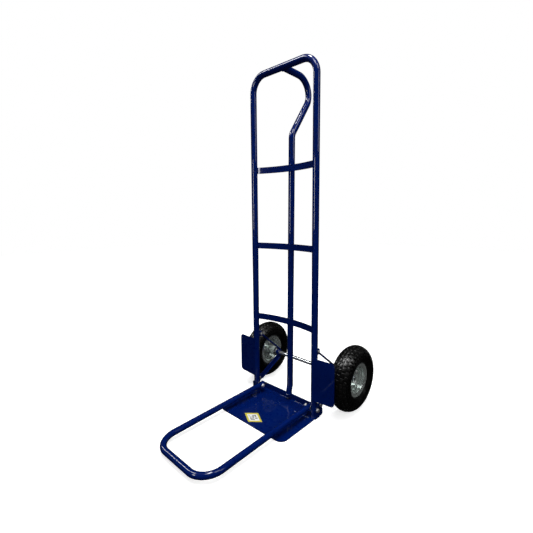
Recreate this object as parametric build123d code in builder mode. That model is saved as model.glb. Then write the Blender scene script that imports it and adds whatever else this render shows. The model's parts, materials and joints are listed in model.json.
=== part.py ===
from build123d import *
from math import cos, hypot, radians, sin
import os

# Hand truck with a P-handle, pneumatic wheels and a folding toe extension.
# X runs across the truck, -Y towards the load (toe side), +Y towards the wheels, +Z up.
# The origin lies on the ground under the toe plate, midway between the two legs.

os.makedirs("parts", exist_ok=True)

# ------------------------------------------------------------------ driving dimensions, mm
# Welded frame
TUBE_D = 25.4
TUBE_WALL = 1.5
LEG_X = 158.0
FRAME_HEIGHT = 1330.0
FRAME_CORNER_R = 62.0

# P-handle and centre tube, as corners of its route seen from the side (Y, Z)
HANDLE_CORNER_Y = 214.0
HANDLE_CORNER_R = 63.0
HANDLE_FOOT = (53.5, 1085.0)
HANDLE_FOOT_R = 45.0
CENTRE_TUBE_KNEE = (41.0, 62.0)
CENTRE_TUBE_KNEE_R = 40.0
CENTRE_TUBE_TOE_Y = 31.5

# Bowed slats
SLAT_HEIGHT = 25.0
SLAT_T = 4.0
SLAT_LEVELS = {"slat_lower": 341.5, "slat_middle": 648.0, "slat_upper": 956.5}
SLAT_END_Y = 3.0
SLAT_GAP = 0.2

# Toe plate and its hinge plates
PLATE_T = 3.0
PLATE_FRONT_Y = -198.0
PLATE_BACK_Y = 39.0
PLATE_CORNER_R = 30.0
FLANGE_HEIGHT = 27.5
FLANGE_CORNER_R = 6.0
BEND_R = 3.0
HINGE_PLATE_T = 3.0
HINGE_Z = 34.0

# Folding toe extension
EXT_D = 22.0
EXT_WALL = 1.5
EXT_FRONT_Y = -487.0
EXT_FRONT_Z = 23.0
EXT_CORNER_R = 68.0
EXT_STUB = 16.0
PIVOT_WASHER_T = 0.8

# Wheel guards, swept back a little; widths are measured outwards from the leg's axis
GUARD_T = 2.0
GUARD_INNER = -2.0
GUARD_OUTER = 94.0
GUARD_SWEEP = 4.4
GUARD_BOTTOM_Z = 75.0
GUARD_TOP_Z = 242.0
GUARD_CORNER_R = 15.0

# Axle, its collars and braces
AXLE_D = 16.0
AXLE_Y = 147.0
WHEEL_R = 130.0
COLLAR_R = 12.0
COLLAR_INNER_X = 157.0
BRACE_BOLT = (22.0, 47.5)
BRACE_T = 2.5
BRACE_UPPER = 3.0
BRACE_LOWER = -19.0
BRACE_LIP = 5.0
BRACE_FOOT_R = 10.0
BRACE_EYE_R = 16.0
BRACE_EYE_X = 158.0
STAY_D = 8.0
STAY_TOP = (22.0, 257.0)
STAY_END = (157.0, 142.0)
STAY_END_X = 164.8
STAY_EYE_R = 9.0
STAY_EYE_T = 4.0
LUG_T = 4.0
LUG_HEIGHT = 24.0
LUG_CORNER_R = 6.0
AXLE_WASHER_R = 14.0
AXLE_WASHER_T = 2.0
AXLE_SPACER_R = 11.0
SPLIT_PIN_R = 0.8
SPLIT_PIN_HOLE_R = 1.9
END_PLAY = 0.3

# Wheels
WHEEL_X = 237.5
TYRE_HALF_WIDTH = 43.5
TYRE_WIDE_R = 87.0
TYRE_CROWN_T = 6.0
TYRE_SIDE_T = 5.5
RIM_SHEET = 2.0
HUB_R = 20.0
HUB_LENGTH = 60.0
HUB_OFFSET = 2.5
HUB_FLANGE_R = 39.0
HUB_FLANGE_T = 2.5
BEARING_R = 17.5
BEARING_WIDTH = 11.0
CLAMP_BOLT_R = 30.0
CLAMP_TIP_X = -14.0
# first clamp bolt and the valve, in degrees about the axle from the rear, for each side
CLAMP_START = {-1: -8, 1: 35}
VALVE_ANGLE = {-1: 217, 1: 170}
VALVE_X = 9.0
VALVE_R = 3.5
VALVE_LENGTH = 17.0
VALVE_CAP_LENGTH = 7.0
BEAD_R = 52.7
BEAD_OUT_X = 24.3
BEAD_IN_X = 16.0
BEAD_SHOULDER_R = 67.5
BEAD_HEEL = 2.2
CAVITY_SHOULDER_R = 70.0
TUBE_GAP = 0.5
TUBE_SKIN = 2.0
RACE_HEIGHT = 3.0
BALL_R = 2.9
BALL_COUNT = 9

# Standard fasteners: nominal diameter -> across flats, head height, nut height
HEX = {6: (10.0, 4.0, 5.0), 8: (13.0, 5.3, 6.8)}
HEX_CHAMFER = 0.6
THREAD_CHAMFER = 0.8
THREAD_SHOWING = 1.5
WASHER_M8 = (4.2, 8.0, 1.6)
PIVOT_WASHER_R = 9.0
RUN_FIT = 0.05
LOOSE_FIT = 0.2

# Warning label on the toe plate
LABEL_CENTRE = (-14.5, -157.2)
LABEL_SHORT_EDGE = (40.4, 33.6)
LABEL_LONG_EDGE = (53.4, -30.0)
LABEL_T = 0.3

# ------------------------------------------------------------------ derived dimensions
TUBE_R = TUBE_D / 2
TOP_BAR_Z = FRAME_HEIGHT - TUBE_R
LEG_OUT_X = LEG_X + TUBE_R
LEG_IN_X = LEG_X - TUBE_R
EXT_R = EXT_D / 2
EXT_ARM_X = LEG_IN_X - PIVOT_WASHER_T - EXT_R
HINGE_PLATE_OUT_X = LEG_OUT_X + HINGE_PLATE_T
COLLAR_OUTER_X = LEG_OUT_X + 1.0
HUB_OUT_X = WHEEL_X + HUB_OFFSET
HUB_IN_X = HUB_OUT_X - HUB_LENGTH
AXLE_R = AXLE_D / 2
CAVITY_R = WHEEL_R - TYRE_CROWN_T
CAVITY_HALF_WIDTH = TYRE_HALF_WIDTH - TYRE_SIDE_T
BALL_PITCH_R = (AXLE_R + RUN_FIT + BEARING_R) / 2
VALVE_BASE_R = BEAD_R + TUBE_GAP - 0.2
M6_HOLE_R = 6 / 2 + LOOSE_FIT
M8_HOLE_R = 8 / 2 + LOOSE_FIT
AXLE_WASHER_X = HUB_OUT_X + END_PLAY
SPLIT_PIN_X = HUB_OUT_X + 5.0
AXLE_END_X = HUB_OUT_X + 9.0
SIDES = {"left": -1, "right": 1}


def save(piece, name):
    """Label a finished piece and write it."""
    piece.part.label = name
    export_step(piece.part, f"parts/{name}.step")


def across(x, y, z):
    """Plane at a point whose normal is +X, with local x along Y and local y along Z."""
    return Plane(origin=(x, y, z), x_dir=(0, 1, 0), z_dir=(1, 0, 0))


def outward(side, x, y, z):
    """Plane on one side of the truck whose normal points away from the middle."""
    return Plane(origin=(side * x, y, z), x_dir=(0, 0, 1), z_dir=(side, 0, 0))


def centre_tube_y(z):
    """Y of the leaning centre tube's axis at height z."""
    knee_y, knee_z = CENTRE_TUBE_KNEE
    foot_y, foot_z = HANDLE_FOOT
    return knee_y + (z - knee_z) * (foot_y - knee_y) / (foot_z - knee_z)


# ================================================================== welded frame
# One tube bent into an inverted U; both feet stand on the toe plate.
with BuildPart() as frame_loop:
    with BuildLine(Plane.XZ):
        FilletPolyline(
            (-LEG_X, PLATE_T),
            (-LEG_X, TOP_BAR_Z),
            (LEG_X, TOP_BAR_Z),
            (LEG_X, PLATE_T),
            radius=FRAME_CORNER_R,
        )
    with BuildSketch(Plane.XY.offset(PLATE_T)):
        with Locations((-LEG_X, 0)):
            Circle(TUBE_R)
            Circle(TUBE_R - TUBE_WALL, mode=Mode.SUBTRACT)
    sweep()
    # cross holes for the hinge bolts
    with BuildSketch(across(0, 0, HINGE_Z)):
        Circle(M8_HOLE_R)
    extrude(amount=LEG_OUT_X, both=True, mode=Mode.SUBTRACT)
save(frame_loop, "frame_loop")

# Centre tube: P-handle at the top, a long straight run, and a knee down to the toe plate's flange.
with BuildPart() as centre_tube:
    with BuildLine(Plane.YZ):
        FilletPolyline(
            (TUBE_WALL, TOP_BAR_Z),
            (HANDLE_CORNER_Y, TOP_BAR_Z),
            HANDLE_FOOT,
            CENTRE_TUBE_KNEE,
            (CENTRE_TUBE_TOE_Y, FLANGE_HEIGHT - TUBE_R / 2),
            radius=[HANDLE_CORNER_R, HANDLE_FOOT_R, CENTRE_TUBE_KNEE_R],
        )
    with BuildSketch(Plane(origin=(0, TUBE_WALL, TOP_BAR_Z), x_dir=(1, 0, 0), z_dir=(0, 1, 0))):
        Circle(TUBE_R)
        Circle(TUBE_R - TUBE_WALL, mode=Mode.SUBTRACT)
    sweep()
    # coped top end that fits the top bar
    with BuildSketch(across(0, 0, TOP_BAR_Z)):
        Circle(TUBE_R)
    extrude(amount=TUBE_D, both=True, mode=Mode.SUBTRACT)
    # lower end cut level where it stands on the flange
    with BuildSketch(Plane.XY.offset(FLANGE_HEIGHT)):
        with Locations((0, CENTRE_TUBE_TOE_Y)):
            Rectangle(2 * TUBE_D, 3 * TUBE_D)
    extrude(amount=-TUBE_D, mode=Mode.SUBTRACT)
save(centre_tube, "centre_tube")

# Slats: flat bars bowed back to meet the centre tube, with ends coped to the legs.
for slat_name, slat_z in SLAT_LEVELS.items():
    bow_y = centre_tube_y(slat_z) - TUBE_R - SLAT_GAP - SLAT_T
    with BuildPart() as slat:
        with BuildSketch(Plane.XY.offset(slat_z - SLAT_HEIGHT / 2)):
            with BuildLine():
                front = ThreePointArc((-LEG_X, SLAT_END_Y), (0, bow_y), (LEG_X, SLAT_END_Y))
                rear = ThreePointArc(
                    (-LEG_X, SLAT_END_Y + SLAT_T),
                    (0, bow_y + SLAT_T),
                    (LEG_X, SLAT_END_Y + SLAT_T),
                )
                Line(front @ 0, rear @ 0)
                Line(front @ 1, rear @ 1)
            make_face()
            with Locations((-LEG_X, 0), (LEG_X, 0)):
                Circle(TUBE_R, mode=Mode.SUBTRACT)
            with Locations((-LEG_X, SLAT_END_Y), (LEG_X, SLAT_END_Y)):
                Rectangle(TUBE_D / 2, TUBE_D, mode=Mode.SUBTRACT)
        extrude(amount=SLAT_HEIGHT)
    save(slat, slat_name)

# Toe plate: one sheet with its back edge bent up.
with BuildPart() as toe_plate:
    with BuildSketch(Plane.YZ):
        with BuildLine():
            Polyline(
                (PLATE_FRONT_Y, 0),
                (PLATE_BACK_Y, 0),
                (PLATE_BACK_Y, FLANGE_HEIGHT),
                (PLATE_BACK_Y - PLATE_T, FLANGE_HEIGHT),
                (PLATE_BACK_Y - PLATE_T, PLATE_T),
                (PLATE_FRONT_Y, PLATE_T),
                close=True,
            )
        make_face()
    extrude(amount=LEG_OUT_X, both=True)
    long_edges = toe_plate.edges().filter_by(Axis.X)
    inner_bend = long_edges.sort_by_distance((0, PLATE_BACK_Y - PLATE_T, PLATE_T))[0]
    fillet(inner_bend, radius=BEND_R)
    long_edges = toe_plate.edges().filter_by(Axis.X)
    outer_bend = long_edges.sort_by_distance((0, PLATE_BACK_Y, 0))[0]
    fillet(outer_bend, radius=BEND_R + PLATE_T)
    front_corners = toe_plate.edges().filter_by(Axis.Z).group_by(Axis.Y)[0]
    fillet(front_corners, radius=PLATE_CORNER_R)
    flange_corners = toe_plate.edges().filter_by(Axis.Y).group_by(Axis.Z)[-1]
    fillet(flange_corners, radius=FLANGE_CORNER_R)
save(toe_plate, "toe_plate")


def hinge_plate(side):
    """Rounded plate outside a leg's foot: holds the hinge bolt and the axle brace's bolt."""
    pivot_lobe_r = 12.0
    brace_lobe_r = 12.0
    belly_r = 18.0
    belly = (14.0, 26.0)
    with BuildPart() as plate:
        with BuildSketch(across(side * LEG_OUT_X, 0, 0)):
            with Locations((2, HINGE_Z)):
                Circle(pivot_lobe_r)
            with Locations(BRACE_BOLT):
                Circle(brace_lobe_r)
            with Locations(belly):
                Circle(belly_r)
            with Locations((2, pivot_lobe_r / 2)):
                Rectangle(2 * pivot_lobe_r, pivot_lobe_r)
            make_hull()
            with Locations((0, HINGE_Z), BRACE_BOLT):
                Circle(M8_HOLE_R, mode=Mode.SUBTRACT)
        extrude(amount=side * HINGE_PLATE_T)
    return plate


def wheel_guard(side):
    """Flat plate welded to the front of a leg, in front of its wheel."""
    width = GUARD_OUTER - GUARD_INNER
    height = GUARD_TOP_Z - GUARD_BOTTOM_Z
    middle = (side * (GUARD_INNER + width / 2), GUARD_BOTTOM_Z + height / 2)
    sweep_cos = cos(radians(GUARD_SWEEP))
    sweep_sin = side * sin(radians(GUARD_SWEEP))
    leg_plane = Plane(
        origin=(side * LEG_X, 0, 0), x_dir=(sweep_cos, sweep_sin, 0), z_dir=(sweep_sin, -sweep_cos, 0)
    )
    with BuildPart() as guard:
        with BuildSketch(leg_plane.offset(TUBE_R)) as outline:
            with Locations(middle):
                Rectangle(width, height)
            outer_corners = outline.vertices().group_by(Axis.X)[-1 if side > 0 else 0]
            fillet(outer_corners, radius=GUARD_CORNER_R)
        extrude(amount=GUARD_T)
    return guard


def axle_brace(side):
    """Bent strip from the hinge plate to the axle collar, with a lip along its lower edge."""
    foot_y, foot_z = BRACE_BOLT
    rise = WHEEL_R - foot_z
    run = AXLE_Y - foot_y
    length = hypot(run, rise)
    # in both planes local x runs up the brace; local y is across it, or outwards along the axle
    plan = Plane(origin=(0, foot_y, foot_z), x_dir=(0, run, rise), z_dir=(1, 0, 0))
    edge_on = Plane(
        origin=(0, foot_y, foot_z), x_dir=(0, run, rise), z_dir=(0, side * rise, -side * run)
    )
    foot_x = LEG_OUT_X - BRACE_T
    bends = (
        (-BRACE_FOOT_R, foot_x),
        (BRACE_FOOT_R + 4.0, foot_x),
        (length - BRACE_EYE_R - 4.0, BRACE_EYE_X),
        (length + BRACE_EYE_R, BRACE_EYE_X),
    )
    outer_bends = [(along, x + BRACE_T) for along, x in reversed(bends)]
    lip_bends = [(along, x - BRACE_LIP) for along, x in bends]
    reach = 2 * BRACE_EYE_R
    with BuildPart() as lip:
        with BuildSketch(edge_on):
            Polygon(*lip_bends, *outer_bends, align=None)
        extrude(amount=reach, both=True)
        with BuildSketch(plan):
            with Locations((length / 2, BRACE_LOWER + BRACE_T / 2)):
                Rectangle(length - 2 * BRACE_FOOT_R, BRACE_T)
        extrude(amount=WHEEL_X, both=True, mode=Mode.INTERSECT)
    with BuildPart() as brace:
        with BuildSketch(edge_on):
            Polygon(*bends, *outer_bends, align=None)
        extrude(amount=reach, both=True)
        with BuildSketch(plan):
            with Locations((length / 2, (BRACE_UPPER + BRACE_LOWER) / 2)):
                Rectangle(length, BRACE_UPPER - BRACE_LOWER)
            Circle(BRACE_FOOT_R)
            with Locations((length, 0)):
                Circle(BRACE_EYE_R)
                Circle(COLLAR_R + LOOSE_FIT / 2, mode=Mode.SUBTRACT)
            Circle(M8_HOLE_R, mode=Mode.SUBTRACT)
        extrude(amount=WHEEL_X, both=True, mode=Mode.INTERSECT)
        add(lip.part)
    return brace


def axle_collar(side):
    """Short sleeve through the brace that holds the axle; the stay is welded on top of it."""
    with BuildPart() as collar:
        with BuildSketch(across(side * COLLAR_INNER_X, AXLE_Y, WHEEL_R)):
            Circle(COLLAR_R)
            Circle(AXLE_R + RUN_FIT, mode=Mode.SUBTRACT)
        extrude(amount=side * (COLLAR_OUTER_X - COLLAR_INNER_X))
        chamfer(collar.edges().filter_by(GeomType.CIRCLE).group_by(SortBy.RADIUS)[-1], length=0.8)
    return collar


def stay_lug(side):
    """Plate on the back of a leg that the stay's eye is bolted to."""
    lug_y, lug_z = STAY_TOP
    with BuildPart() as lug:
        with BuildSketch(across(side * (LEG_X - LUG_T / 2), 0, 0)) as outline:
            with Locations(((TUBE_R + lug_y + STAY_EYE_R) / 2, lug_z)):
                Rectangle(lug_y + STAY_EYE_R - TUBE_R, LUG_HEIGHT)
            fillet(outline.vertices().group_by(Axis.Y)[-1], radius=LUG_CORNER_R)
            with Locations(STAY_TOP):
                Circle(M6_HOLE_R, mode=Mode.SUBTRACT)
        extrude(amount=side * LUG_T)
    return lug


def upper_stay(side):
    """Round rod from the lug on the leg to the axle collar, with a flattened eye at its top."""
    eye_y, eye_z = STAY_TOP
    eye_x = side * (LEG_X - LUG_T / 2 - STAY_EYE_T / 2)
    end_y, end_z = STAY_END
    start = Vector(eye_x, eye_y, eye_z)
    end = Vector(side * STAY_END_X, end_y, end_z)
    along = (end - start).normalized()
    rod_start = STAY_EYE_R - 2.0
    with BuildPart() as stay:
        with BuildSketch(Plane(origin=start + along * rod_start, z_dir=along)):
            Circle(STAY_D / 2)
        extrude(amount=(end - start).length - rod_start)
        with BuildSketch(across(eye_x - STAY_EYE_T / 2, eye_y, eye_z)):
            Circle(STAY_EYE_R)
        extrude(amount=STAY_EYE_T)
        with BuildSketch(across(eye_x, eye_y, eye_z)):
            Circle(M6_HOLE_R)
        extrude(amount=STAY_EYE_R, both=True, mode=Mode.SUBTRACT)
        # flat side of the eye that lies on the lug
        with BuildSketch(across(eye_x + side * STAY_EYE_T / 2, eye_y, eye_z)):
            Rectangle(3 * STAY_EYE_R, 3 * STAY_EYE_R)
        extrude(amount=side * STAY_D, mode=Mode.SUBTRACT)
        # lower end coped to the collar
        with BuildSketch(across(0, AXLE_Y, WHEEL_R)):
            Circle(COLLAR_R)
        extrude(amount=side * LEG_OUT_X, mode=Mode.SUBTRACT)
    return stay


def bolt(side, head_x, end_x, y, z, size):
    """Hex bolt along X whose head bears at head_x on the outer side and whose tip is at end_x."""
    with BuildPart() as one_bolt:
        with BuildSketch(outward(side, head_x, y, z)) as hexagon:
            RegularPolygon(HEX[size][0] / 2, 6, major_radius=False)
        extrude(amount=HEX[size][1])
        head_edges = one_bolt.edges().sort_by(Axis.X)
        rim = head_edges[-6:] if side > 0 else head_edges[:6]
        chamfer(rim, length=HEX_CHAMFER)
        with BuildSketch(outward(side, head_x, y, z)):
            Circle(size / 2)
        extrude(amount=end_x - head_x)
        tip_edges = one_bolt.edges().filter_by(GeomType.CIRCLE).sort_by(Axis.X)
        chamfer(tip_edges[0] if side > 0 else tip_edges[-1], length=THREAD_CHAMFER)
    return one_bolt


def nut(side, x, y, z, size):
    """Hex nut along X that bears at x and stands towards the middle of the truck."""
    flats, _, height = HEX[size]
    with BuildPart() as one_nut:
        with BuildSketch(outward(side, x, y, z)):
            RegularPolygon(flats / 2, 6, major_radius=False)
        extrude(amount=-height)
        nut_edges = one_nut.edges().sort_by(Axis.X)
        rim = nut_edges[:6] if side > 0 else nut_edges[-6:]
        chamfer(rim, length=HEX_CHAMFER)
        with BuildSketch(outward(side, x, y, z)):
            Circle(size / 2)
        extrude(amount=-height, mode=Mode.SUBTRACT)
    return one_nut


def ring(side, x, y, z, inner_r, outer_r, thickness):
    """Flat ring along X from x outwards."""
    with BuildPart() as one_ring:
        with BuildSketch(outward(side, x, y, z)):
            Circle(outer_r)
            Circle(inner_r, mode=Mode.SUBTRACT)
        extrude(amount=thickness)
    return one_ring


def group(pieces):
    """Several separate solids kept as one node."""
    with BuildPart() as node:
        for piece in pieces:
            add(piece.part)
    return node


for side_name, side in SIDES.items():
    save(hinge_plate(side), f"hinge_plate_{side_name}")
    save(wheel_guard(side), f"wheel_guard_{side_name}")
    save(axle_brace(side), f"axle_brace_{side_name}")
    save(axle_collar(side), f"axle_collar_{side_name}")
    save(stay_lug(side), f"stay_lug_{side_name}")
    save(upper_stay(side), f"upper_stay_{side_name}")

# ================================================================== frame fasteners
hinge_head_x = HINGE_PLATE_OUT_X + WASHER_M8[2]
hinge_nut_x = EXT_ARM_X - EXT_R - RUN_FIT
hinge_tip_x = hinge_nut_x - HEX[8][2] - THREAD_SHOWING
pivot_washer_x = LEG_IN_X - PIVOT_WASHER_T + RUN_FIT
pivot_washer = (WASHER_M8[0], PIVOT_WASHER_R, PIVOT_WASHER_T - RUN_FIT)
brace_nut_x = LEG_OUT_X - BRACE_T
brace_tip_x = brace_nut_x - HEX[8][2] - THREAD_SHOWING
stay_head_x = LEG_X + LUG_T / 2
stay_nut_x = LEG_X - LUG_T / 2 - STAY_EYE_T
stay_tip_x = stay_nut_x - HEX[6][2] - THREAD_SHOWING


def both_sides(build, *measures):
    """One node with the same piece on each side of the truck."""
    return group(build(side, *measures) for side in SIDES.values())


save(both_sides(bolt, hinge_head_x, hinge_tip_x, 0, HINGE_Z, 8), "hinge_bolts")
save(both_sides(nut, hinge_nut_x, 0, HINGE_Z, 8), "hinge_nuts")
save(both_sides(ring, HINGE_PLATE_OUT_X, 0, HINGE_Z, *WASHER_M8), "hinge_washers")
save(both_sides(ring, pivot_washer_x, 0, HINGE_Z, *pivot_washer), "pivot_washers")
save(both_sides(bolt, HINGE_PLATE_OUT_X, brace_tip_x, *BRACE_BOLT, 8), "brace_bolts")
save(both_sides(nut, brace_nut_x, *BRACE_BOLT, 8), "brace_nuts")
save(both_sides(bolt, stay_head_x, stay_tip_x, *STAY_TOP, 6), "stay_bolts")
save(both_sides(nut, stay_nut_x, *STAY_TOP, 6), "stay_nuts")

# ================================================================== axle
with BuildPart() as axle:
    with BuildSketch(across(0, AXLE_Y, WHEEL_R)):
        Circle(AXLE_R)
    extrude(amount=AXLE_END_X, both=True)
    chamfer(axle.edges().filter_by(GeomType.CIRCLE), length=1.0)
    for side in SIDES.values():
        with BuildSketch(Plane(origin=(side * SPLIT_PIN_X, AXLE_Y, WHEEL_R), z_dir=(0, 0, 1))):
            Circle(SPLIT_PIN_HOLE_R)
        extrude(amount=AXLE_D, both=True, mode=Mode.SUBTRACT)
save(axle, "axle")

axle_bore_r = AXLE_R + LOOSE_FIT
spacer_length = HUB_IN_X - END_PLAY - COLLAR_OUTER_X
axle_washer = (axle_bore_r, AXLE_WASHER_R, AXLE_WASHER_T)
axle_spacer = (axle_bore_r, AXLE_SPACER_R, spacer_length)
save(both_sides(ring, AXLE_WASHER_X, AXLE_Y, WHEEL_R, *axle_washer), "axle_washers")
save(both_sides(ring, COLLAR_OUTER_X, AXLE_Y, WHEEL_R, *axle_spacer), "axle_spacers")


def split_pin(side):
    """Hairpin of round wire through the end of the axle, with its legs bent apart below."""
    gap = SPLIT_PIN_R + RUN_FIT
    neck = AXLE_R + 1.0
    eye = 3.0
    with BuildPart() as pin:
        with BuildLine(across(side * SPLIT_PIN_X, AXLE_Y, WHEEL_R)) as wire:
            FilletPolyline(
                (-2 * eye, -neck - eye),
                (-gap, -neck),
                (-gap, neck),
                (-eye, neck + eye),
                (0, neck + 2 * eye),
                (eye, neck + eye),
                (gap, neck),
                (gap, -neck),
                (2 * eye, -neck - eye),
                radius=1.2,
            )
        with BuildSketch(Plane(origin=wire.line @ 0, z_dir=wire.line % 0)):
            Circle(SPLIT_PIN_R)
        sweep()
    return pin


save(both_sides(split_pin), "split_pins")

# ================================================================== folding toe extension
# U-shaped tube; local x is the truck's X and local y runs forward along the slightly dipping arms.
arm_rise = EXT_FRONT_Z - HINGE_Z
arm_length = hypot(EXT_FRONT_Y, arm_rise)
arm_plane = Plane(origin=(0, 0, HINGE_Z), x_dir=(1, 0, 0), z_dir=(0, -arm_rise, EXT_FRONT_Y))
with BuildPart() as extension_frame:
    with BuildLine(arm_plane) as arm_route:
        FilletPolyline(
            (-EXT_ARM_X, -EXT_STUB),
            (-EXT_ARM_X, arm_length),
            (EXT_ARM_X, arm_length),
            (EXT_ARM_X, -EXT_STUB),
            radius=EXT_CORNER_R,
        )
    with BuildSketch(Plane(origin=arm_route.line @ 0, z_dir=arm_route.line % 0)):
        Circle(EXT_R)
        Circle(EXT_R - EXT_WALL, mode=Mode.SUBTRACT)
    sweep()
    with BuildSketch(across(0, 0, HINGE_Z)):
        Circle(8 / 2 + RUN_FIT)
    extrude(amount=LEG_OUT_X, both=True, mode=Mode.SUBTRACT)
save(extension_frame, "extension_frame")

# ================================================================== wheels


def wheel_section(side):
    """Plane through the wheel's axis: local x outwards along the axle, local y radially up."""
    return Plane(
        origin=(side * WHEEL_X, AXLE_Y, WHEEL_R), x_dir=(side, 0, 0), z_dir=(0, -side, 0)
    )


def wheel_axis(side):
    """Axis of one wheel."""
    return Axis((side * WHEEL_X, AXLE_Y, WHEEL_R), (side, 0, 0))


def half_section(crown_r, half_width, seat_x, seat_r, shoulder_r, heel=0.0):
    """Closed right half of a tyre-shaped outline, from its seat up to the crown."""
    widest = (half_width, TYRE_WIDE_R)
    Polyline((0, crown_r), (0, seat_r), (seat_x - heel, seat_r))
    if heel:
        Line((seat_x - heel, seat_r), (seat_x, seat_r + heel))
    Line((seat_x, seat_r + heel), (seat_x, shoulder_r))
    TangentArc(widest, (seat_x, shoulder_r), tangent=(0, -1))
    EllipticalCenterArc(
        (0, TYRE_WIDE_R), half_width, crown_r - TYRE_WIDE_R, start_angle=0, arc_size=90
    )


def tyre(side):
    """Rubber casing, open towards the rim between its two beads."""
    with BuildPart() as casing:
        with BuildSketch(wheel_section(side)):
            with BuildLine():
                half_section(
                    WHEEL_R, TYRE_HALF_WIDTH, BEAD_OUT_X, BEAD_R, BEAD_SHOULDER_R, BEAD_HEEL
                )
            make_face()
            with BuildLine():
                half_section(CAVITY_R, CAVITY_HALF_WIDTH, BEAD_IN_X, BEAD_R - 1, CAVITY_SHOULDER_R)
            make_face(mode=Mode.SUBTRACT)
            mirror(about=Plane.YZ)
        revolve(axis=wheel_axis(side))
    return casing


def inner_tube(side):
    """Rubber air tube that fills the casing."""
    with BuildPart() as tube:
        with BuildSketch(wheel_section(side)):
            for inset, mode in ((TUBE_GAP, Mode.ADD), (TUBE_GAP + TUBE_SKIN, Mode.SUBTRACT)):
                with BuildLine():
                    half_section(
                        CAVITY_R - inset,
                        CAVITY_HALF_WIDTH - inset,
                        BEAD_IN_X - inset,
                        BEAD_R + inset,
                        CAVITY_SHOULDER_R + inset,
                    )
                make_face(mode=mode)
            mirror(about=Plane.YZ)
        revolve(axis=wheel_axis(side))
    return tube


def valve_plane(side, r):
    """Plane at radius r on the valve's line, facing the axle."""
    angle = radians(VALVE_ANGLE[side])
    y, z = cos(angle), sin(angle)
    origin = (side * (WHEEL_X + VALVE_X), AXLE_Y + r * y, WHEEL_R + r * z)
    return Plane(origin=origin, x_dir=(1, 0, 0), z_dir=(0, -y, -z))


def rim_half(side, facing):
    """Pressed steel rim half; facing is 1 for the outboard half and -1 for the inboard one."""
    disc_x = RIM_SHEET / 2
    with BuildPart() as shell:
        with BuildSketch(wheel_section(side)):
            with BuildLine():
                FilletPolyline(
                    (facing * disc_x, HUB_R + 1.3),
                    (facing * disc_x, 40.0),
                    (facing * 4.0, 44.5),
                    (facing * 13.0, 44.5),
                    (facing * 14.5, 51.5),
                    (facing * 25.6, 51.5),
                    (facing * 25.6, 61.0),
                    (facing * 27.4, 66.2),
                    radius=[2.5, 2.5, 1.2, 1.2, 3.5, 3.5],
                )
                offset(amount=RIM_SHEET / 2, side=Side.BOTH, closed=True, mode=Mode.REPLACE)
            make_face()
        revolve(axis=wheel_axis(side))
        with BuildSketch(across(side * WHEEL_X, AXLE_Y, WHEEL_R)):
            with PolarLocations(CLAMP_BOLT_R, 4, start_angle=CLAMP_START[side]):
                Circle(M8_HOLE_R)
        extrude(amount=10, both=True, mode=Mode.SUBTRACT)
        if facing > 0:
            with BuildSketch(valve_plane(side, BEAD_R)):
                Circle(VALVE_R + LOOSE_FIT)
            extrude(amount=BEAD_R - HUB_R, mode=Mode.SUBTRACT)
    return shell


def hub(side):
    """Tube that holds the two bearings, with a welded flange that the rim is bolted to."""
    with BuildPart() as hub_tube:
        with BuildSketch(outward(side, HUB_IN_X, AXLE_Y, WHEEL_R)):
            Circle(HUB_R)
            Circle(BEARING_R - 2.0, mode=Mode.SUBTRACT)
        extrude(amount=HUB_LENGTH)
        with BuildSketch(outward(side, WHEEL_X - RIM_SHEET - HUB_FLANGE_T, AXLE_Y, WHEEL_R)):
            Circle(HUB_FLANGE_R)
            Circle(HUB_R, mode=Mode.SUBTRACT)
        extrude(amount=HUB_FLANGE_T)
        # bearing seats
        for seat_x in (HUB_IN_X, HUB_OUT_X - BEARING_WIDTH):
            with BuildSketch(outward(side, seat_x, AXLE_Y, WHEEL_R)):
                Circle(BEARING_R)
            extrude(amount=BEARING_WIDTH, mode=Mode.SUBTRACT)
        with BuildSketch(across(side * WHEEL_X, AXLE_Y, WHEEL_R)):
            with PolarLocations(CLAMP_BOLT_R, 4, start_angle=CLAMP_START[side]):
                Circle(M8_HOLE_R)
        extrude(amount=10, both=True, mode=Mode.SUBTRACT)
    return hub_tube


def bearing_rings(side, x):
    """Outer and inner ring of one ball bearing, grooved for its balls."""
    with BuildPart() as rings:
        with BuildSketch(wheel_section(side)):
            middle = x + BEARING_WIDTH / 2
            inner_r = AXLE_R + RUN_FIT
            for race_r in (inner_r + RACE_HEIGHT / 2, BEARING_R - RACE_HEIGHT / 2):
                with Locations((middle, race_r)):
                    Rectangle(BEARING_WIDTH, RACE_HEIGHT)
            with Locations((middle, BALL_PITCH_R)):
                Circle(BALL_R + RUN_FIT, mode=Mode.SUBTRACT)
        revolve(axis=wheel_axis(side))
    return rings


def bearing_balls(side, x):
    """Ring of balls of one bearing."""
    with BuildPart() as balls:
        with Locations(outward(side, 0, AXLE_Y, WHEEL_R).offset(WHEEL_X + x + BEARING_WIDTH / 2)):
            with PolarLocations(BALL_PITCH_R, BALL_COUNT):
                Sphere(BALL_R)
    return balls


def clamp_places(side):
    """Centres (Y, Z) of the clamp bolts around the axle."""
    places = []
    for quarter in range(4):
        angle = radians(CLAMP_START[side] + 90 * quarter)
        places.append((AXLE_Y + CLAMP_BOLT_R * cos(angle), WHEEL_R + CLAMP_BOLT_R * sin(angle)))
    return places


def clamp_bolts(side):
    """Four bolts that hold the rim halves to the hub's flange, heads outboard."""
    pieces = []
    for y, z in clamp_places(side):
        pieces.append(bolt(side, WHEEL_X + RIM_SHEET, WHEEL_X + CLAMP_TIP_X, y, z, 8))
    return group(pieces)


def clamp_nuts(side):
    """Nuts of the four clamp bolts."""
    bearing_x = WHEEL_X - RIM_SHEET - HUB_FLANGE_T
    return group(nut(side, bearing_x, y, z, 8) for y, z in clamp_places(side))


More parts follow.
